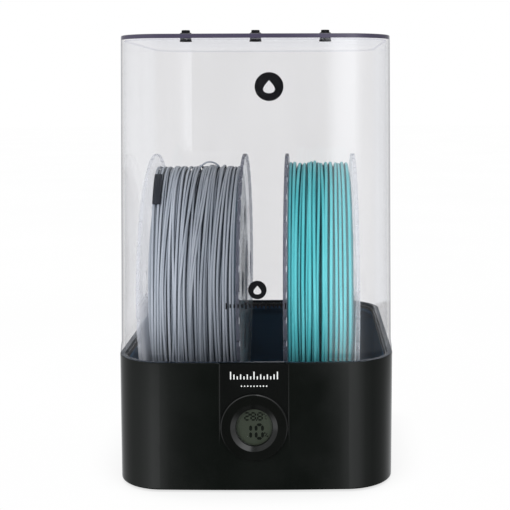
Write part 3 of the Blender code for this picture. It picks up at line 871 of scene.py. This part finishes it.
def cover_marks():
    """A dark disc with a drop-shaped opening on the front and on the back, and plain ticks."""
    front_y = -RIM_DEPTH / 2 + COVER_INSET - 0.06 * MM
    back_y = RIM_DEPTH / 2 - COVER_INSET + 0.06 * MM
    facing = Matrix.Rotation(math.pi / 2, 4, "X")
    thick = 0.08 * MM
    place = Matrix.Translation((2.6 * MM, front_y, RIM_Z + 53.2 * MM)) @ facing
    parts = [plate([circle(6.8 * MM, 48), drop_outline(6.4 * MM)], 0, thick, place)]
    place = Matrix.Translation((1.5 * MM, front_y, RIM_Z + 41.4 * MM)) @ facing
    tick_step, tick_half = 2.9 * MM, 0.6 * MM
    for i in range(16):
        tall = (2.3 if i % 5 == 0 else 1.4) * MM
        parts.append(plate([bar((i - 7.5) * tick_step, tick_half, -tall, tall)], 0, thick, place))
    add_piece("front_mark", joined(parts), "dark_print", "cover")
    place = Matrix.Translation((2.6 * MM, back_y, TOP_Z - 37.6 * MM)) @ facing
    made = plate([circle(13.8 * MM, 64), drop_outline(12.6 * MM)], -thick, 0, place)
    add_piece("back_mark", made, "dark_print", "cover")


# --- Spools ---


SPOOL_RADIUS = 100 * MM
NOTCHES = 32
NOTCH_DEPTH = 1.1 * MM


def flange_outline():
    """The rim, with small grip notches round it."""
    points = []
    per_notch = 12
    for i in range(NOTCHES * per_notch):
        radius = SPOOL_RADIUS - (NOTCH_DEPTH if i % per_notch < 2 else 0.0)
        points.append(polar(radius, math.tau * i / (NOTCHES * per_notch)))
    return points


def flange(name, node, body):
    low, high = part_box(node)
    centre = middle(node)
    place = along_x(low[0], centre.y, centre.z)
    thick = high[0] - low[0]
    loops = [flange_outline(), circle(32.3 * MM, 64)]
    for i in range(6):
        loops.append(circle(10 * MM, 32, *polar(56 * MM, math.tau * (i + 0.5) / 6)))
    made = plate(loops, 0, thick, place, 0.55 * MM)
    inner_side = name in ("grey_side_right", "teal_side_left")
    # Outer flanges take the look with more painted sheen.
    look = "spool" if inner_side else "spool_outer"
    side = add_piece(name, made, look, body, [node])
    # Rim faces take painted light and shade: shaded on the inner flanges, lit on the outer ones, with a
    # painted highlight where an inner flange's bevel faces right.
    more_looks(side, "rim_painted_shade" if inner_side else "rim_painted_light", "rim_painted_highlight")
    for face in side.data.polygons:
        spot = face.center - centre
        if math.hypot(spot.y, spot.z) < SPOOL_RADIUS - 2 * MM or abs(face.normal.x) > 0.95:
            continue
        face.material_index = 2 if face.normal.x > 0.3 and inner_side else 1


def hub(spool, body):
    node = f"{spool}_hub"
    centre = middle(node)
    width = size_mm(node)[0]
    near, far = 3.3, width - 3.3
    profile = [
        (27, 0, 0.5), (31.7, 0, 0.3), (31.7, near, 0), (40, near, 0.3),
        (40, far, 0.3), (31.7, far, 0), (31.7, width, 0.3), (27, width, 0.5),
    ]
    place = along_x(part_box(node)[0][0], centre.y, centre.z)
    made = lathe(softened_mm(profile, 3), 80, place)
    add_piece(f"{spool}_core_tube", made, "spool", body, [node])


def strand_ring(verts, faces, centre, x_at, radius_at, thick, around=132, sides=8):
    """Adds one turn of filament: a closed tube round the spool's axis."""
    first = len(verts)
    for i in range(around):
        angle = math.tau * i / around
        out = Vector((0, math.cos(angle), math.sin(angle)))
        spot = Vector((x_at(angle), centre.y, centre.z)) + out * radius_at(angle)
        for k in range(sides):
            turn = math.tau * k / sides
            verts.append(spot + out * thick * math.cos(turn) + Vector((thick * math.sin(turn), 0, 0)))
    for i in range(around):
        here = first + i * sides
        there = first + ((i + 1) % around) * sides
        for k in range(sides):
            next_k = (k + 1) % sides
            faces.append((here + k, here + next_k, there + next_k, there + k))


def winding_core(low, high, centre, outer, thick):
    """The wound body under the top layers: its sides show the edge of every layer."""
    start = low[0] + 3.5 * MM
    width = high[0] - 1 * MM - start
    inner = 40.6 * MM
    layers = int((outer - inner) / (2 * thick))
    side = []
    for i in range(layers):
        for k in range(6):
            turn = math.pi * (k + 0.5) / 6
            radius = inner + 2 * thick * (i + 0.5) - thick * math.cos(turn)
            side.append((radius, thick * (1 - math.sin(turn))))
    profile = side + [(radius, width - z) for radius, z in reversed(side)]
    return lathe(profile, 96, along_x(start, centre.y, centre.z))


def slack_margin(angle, most):
    """How far the winding's left end stands off its flange: it touches at the top only."""
    return most * max(0.0, -math.cos(angle)) ** 1.4


def winding(spool, thick, pitch, lean, wander, margins, seed):
    """Layers of strands, each lying a little askew, so that they cross and leave gaps."""
    noise = random.Random(seed)
    node = f"{spool}_filament_winding"
    body = f"{spool}_spool"
    low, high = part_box(node)
    centre = middle(node)
    wound = (high[2] - low[2]) / 2
    left, right = low[0] + thick, high[0] - thick - margins[1]
    span = right - left
    core = winding_core(low, high, centre, wound - 4.4 * thick, thick)
    add_piece(f"{spool}_wound_core", core, spool, body, sharp=60)
    verts, faces = [], []

    def lay(share, radius, leaning, amount, height):
        swings = [
            (order, noise.gauss(0, amount / order), noise.uniform(0, math.tau)) for order in (1, 2, 3)
        ]
        free = min(share * span, (1 - share) * span, 8 * MM) / (8 * MM)

        def x_at(angle):
            start = left + slack_margin(angle, margins[0])
            drift = leaning * max(0.0, math.sin(angle)) ** 1.5 - 0.25 * leaning
            for order, size, phase in swings:
                drift += size * math.sin(order * angle + phase)
            return min(max(start + share * (right - start) + drift * free, start), right)

        def radius_at(angle):
            return radius + height + 0.2 * thick * math.sin(2 * angle + swings[0][2])

        strand_ring(verts, faces, centre, x_at, radius_at, thick)

    count = int(span / pitch) + 1
    # How deep each layer lies, from the bottom up, in strand radii.
    for layer, depth in enumerate((4.3, 2.7, 1.1)):
        radius = wound - depth * thick
        for i in range(count - (layer == 1)):
            if layer == 2 and noise.random() < 0.06:
                continue
            place = i + 0.5 * (layer == 1) + noise.uniform(-0.16, 0.16) * (0 < i < count - 1)
            share = place / (count - 1)
            leaning = lean * noise.uniform(0.4, 1.3)
            lay(share, radius, leaning, wander, noise.uniform(-0.5, 0.1) * thick)
    for _ in range(count // 5):
        share = noise.uniform(0.12, 0.88)
        lay(share, wound - 0.35 * thick, lean * noise.uniform(1.0, 2.6), 1.6 * wander, 0.0)
    mesh = bpy.data.meshes.new(f"{spool}_strands")
    mesh.from_pydata([tuple(v) for v in verts], [], faces)
    mesh.update()
    finish_piece(f"{spool}_strands", mesh, spool, body, [node], 80)


def loose_loop():
    """The slack turn that stands up from the top of the grey winding."""
    centre = middle("grey_filament_winding")
    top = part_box("grey_filament_winding")[1][2]
    curve = bpy.data.curves.new("slack_loop", "CURVE")
    curve.dimensions = "3D"
    curve.bevel_depth = 0.7 * MM
    curve.bevel_resolution = 3
    curve.use_fill_caps = True
    spline = curve.splines.new("NURBS")
    steps = 16
    spline.points.add(steps)
    for i, point in enumerate(spline.points):
        share = i / steps
        rise = 5.4 * MM * math.sin(math.pi * share) ** 0.7 - 1.6 * MM
        x = centre.x + (0.4 + 16.4 * share) * MM
        point.co = (x, centre.y + (-12 + 8 * share) * MM, top + rise, 1)
    spline.use_endpoint_u = True
    spline.order_u = 3
    maker = in_scene("slack_loop_curve", curve)
    mesh = baked(maker)
    bpy.data.objects.remove(maker)
    finish_piece("grey_slack_loop", mesh, "grey", "grey_spool")


def dark_tape(most):
    """A short dark strip that holds the grey winding's end, beside the left flange."""
    low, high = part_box("grey_filament_winding")
    centre = middle("grey_filament_winding")
    wound = (high[2] - low[2]) / 2
    made = bmesh.new()
    rows = []
    for i in range(17):
        angle = math.radians(110 + 24.5 * i / 16)
        start = low[0] + slack_margin(angle, most)
        row = []
        for x, lift in ((0.2, 0.0), (0.2, 0.9), (3.2, 1.2), (6.4, 0.9), (6.4, 0.0)):
            y, z = polar(wound + lift * MM, angle)
            row.append(made.verts.new((start + x * MM, centre.y + y, centre.z + z)))
        rows.append(row)
    made.faces.new(rows[0])
    made.faces.new(rows[-1])
    for lower, upper in zip(rows, rows[1:]):
        bridge(made, lower, upper)
    add_piece("grey_end_tape", made, "label", "grey_spool")


def spools():
    for spool in ("grey", "teal"):
        body = f"{spool}_spool"
        for side in ("left", "right"):
            flange(f"{spool}_side_{side}", f"{spool}_flange_{side}", body)
        hub(spool, body)
    grey_slack = 6.5 * MM
    winding("grey", 1.08 * MM, 2.75 * MM, 5 * MM, 1.1 * MM, (grey_slack, 1.2 * MM), 11)
    winding("teal", 1.4 * MM, 3.35 * MM, 1.5 * MM, 0.9 * MM, (0.0, 2.4 * MM), 5)
    loose_loop()
    dark_tape(grey_slack)


# --- Stage ---

EYE = Vector((41.4 * MM, -911.6 * MM, 292.8 * MM))
LENS = 76.2
ROLL = math.radians(0.185)
SHIFT_X, SHIFT_Y = -0.1071, -0.317


def camera():
    """The view has upright verticals, so the frame is a shifted part of a level view.
    The shift holds only where this camera starts: any other view of it is centred."""
    data = bpy.data.cameras.new("camera")
    data.lens = LENS
    data.sensor_width = 36
    data.clip_start, data.clip_end = 0.05, 50
    cam = in_scene("camera", data)
    cam.location = EYE
    cam.rotation_euler = (math.pi / 2, ROLL, 0)
    bpy.context.scene.camera = cam
    for path, shift in (("shift_x", SHIFT_X), ("shift_y", SHIFT_Y)):
        driver = data.driver_add(path).driver
        driver.type = "SCRIPTED"
        for name, kind in (("x", "LOC_X"), ("y", "LOC_Y")):
            variable = driver.variables.new()
            variable.name = name
            variable.type = "TRANSFORMS"
            target = variable.targets[0]
            target.id = cam
            target.transform_type = kind
            target.transform_space = "WORLD_SPACE"
        driver.expression = f"{shift} if abs(x - {EYE.x:.4f}) + abs(y - {EYE.y:.4f}) < 0.001 else 0.0"
    return cam


# What reflections see round the camera, as (degrees to the right, strength): a broad soft box on
# the left, an upright one just right of the lens, a dark front between them, and a pale back.
# The low ring is met by the base, and the high ring by the cover.
MOST = 2.0
LOW_RING = (
    (-180, 0.8), (-160, 0.75), (-140, 0.55), (-103, 0.5), (-88, 0.55), (-67, 0.8), (-48, 1.3),
    (-34, 1.9), (-15, 1.8), (-11.5, 0.3), (-9, 0.02), (4.8, 0.02), (7.5, 1.2), (10, 1.8), (33, 1.4),
    (52, 0.62), (71, 0.38), (95, 0.45), (108, 0.55), (125, 0.7), (150, 0.75), (180, 0.8),
)
HIGH_RING = (
    (-180, 1.0), (-163, 1.0), (-145, 0.5), (-100, 0.5), (-67, 0.55), (-36, 0.5), (-14, 0.25),
    (-9, 0.04), (4.2, 0.04), (5.0, 1.9), (25, 1.9), (36, 1.15), (50, 0.5), (71, 0.3),
    (95, 0.38), (145, 0.5), (163, 1.0), (180, 1.0),
)


def studio_world():
    """White behind the object, and soft boxes in its reflections that keep their place round the
    camera."""
    world = bpy.data.worlds.new("studio")
    bpy.context.scene.world = world
    n = Nodes(world, "ShaderNodeOutputWorld")
    way = n.add("TexCoord").outputs["Generated"]
    spaces = {"vector_type": "VECTOR", "convert_from": "WORLD", "convert_to": "CAMERA"}
    turned = n.add("VectorTransform", {0: way}, **spaces).outputs[0]
    side, up, ahead = n.add("SeparateXYZ", {0: turned}).outputs
    # The azimuth is 0 right behind the lens.
    round_camera = n.maths("ARCTAN2", side, n.maths("MULTIPLY", ahead, -1.0))
    degrees = n.maths("MULTIPLY", round_camera, 180 / math.pi)

    def rise(value, low, high, top):
        """From 0 at low to top at high."""
        return n.ramp(value, low, high, 0.0, top, "SMOOTHSTEP")

    def ring(stops):
        """Brightness by azimuth, from stops of (degrees, strength)."""
        share = n.maths("ADD", n.maths("DIVIDE", degrees, 360.0), 0.5)
        node = n.add("ValToRGB", {0: share})
        elements = node.color_ramp.elements
        while len(elements) < len(stops):
            elements.new(0.5)
        for element, (angle, strength) in zip(elements, stops):
            element.position = 0.5 + angle / 360
            element.color = scaled((strength, strength, strength), 1 / MOST)
        return n.maths("MULTIPLY", node.outputs[0], MOST)

    # Below, "up" is how far a ray points upwards, from -1 to 1.
    raised = rise(up, -0.285, -0.24, 1.0)
    lowered = n.maths("SUBTRACT", 1.0, raised)
    low_part = n.maths("MULTIPLY", ring(LOW_RING), lowered)
    rings = n.maths("ADD", n.maths("MULTIPLY", ring(HIGH_RING), raised), low_part)
    above_ground = n.maths("ADD", 0.05, rise(up, -0.8, -0.45, 0.95))
    overhead = rise(up, 0.2, 0.75, 0.45)
    total = n.maths("ADD", n.maths("MULTIPLY", rings, above_ground), overhead)
    mirrored = n.made("Background", Color=colour(0.97, 0.985, 1.0), Strength=total)
    level = n.maths("SUBTRACT", 0.6, rise(up, 0.1, 0.8, 0.25))
    fill = n.made("Background", Color=colour(0.98, 0.99, 1.0), Strength=level)
    white = n.made("Background", Color=colour(1, 1, 1), Strength=1.0)
    ray = n.add("LightPath").outputs
    soft = n.between(ray["Is Glossy Ray"], fill, mirrored)
    n.finish(n.between(ray["Is Camera Ray"], soft, white))
    world.cycles.sampling_method = "NONE"


def floor():
    """A pale floor that runs into the white behind it, with a painted contact shadow: it is a little darker
    where the feet meet it.
    """
    made = bmesh.new()
    bmesh.ops.create_circle(made, cap_ends=True, segments=96, radius=9.0)
    obj = in_scene("floor", as_mesh("floor", made))
    n = material_nodes("pale_floor")
    # Painted contact shadow: ambient occlusion dims the floor's glow where the object stands close.
    contact_shadow_ao = n.add("AmbientOcclusion", {"Distance": 70 * MM}, samples=16).outputs["AO"]
    shade = n.spread(n.noise(3.0), 0.99, 1.0)
    light = n.maths("MULTIPLY", n.ramp(contact_shadow_ao, 0.0, 0.72, 0.7, 1.0), shade)
    obj.data.materials.append(n.finish(n.made("Emission", Color=colour(1, 1, 1), Strength=light)))
    obj.visible_glossy = False


def soft_lights(cam):
    """Two large soft boxes that keep their place round the camera."""
    for name, place, size, power in (
        ("left_box", (-0.7, 0.2, 0.1), 0.7, 14.0),
        ("right_box", (0.75, 0.1, 0.2), 0.6, 8.0),
    ):
        data = bpy.data.lights.new(name, "AREA")
        data.shape = "RECTANGLE"
        data.size = size
        data.size_y = size * 1.5
        data.energy = power
        lamp = in_scene(name, data)
        lamp.parent = cam
        target = Vector((0, -0.12, -0.9))
        lamp.location = place
        lamp.rotation_euler = (target - Vector(place)).to_track_quat("-Z", "Y").to_euler()
        lamp.visible_glossy = False


def build():
    for step in (
        base_tub, front_panel, panel_scale, small_base_parts, rods, bearings, silica_bags,
        carried_over, gauge, readings, cover, outlets, cover_marks, spools, floor,
    ):
        step()
    cam = camera()
    studio_world()
    soft_lights(cam)
    bpy.context.scene.view_settings.view_transform = "Standard"
    bpy.context.scene.cycles.transparent_max_bounces = 24


build()
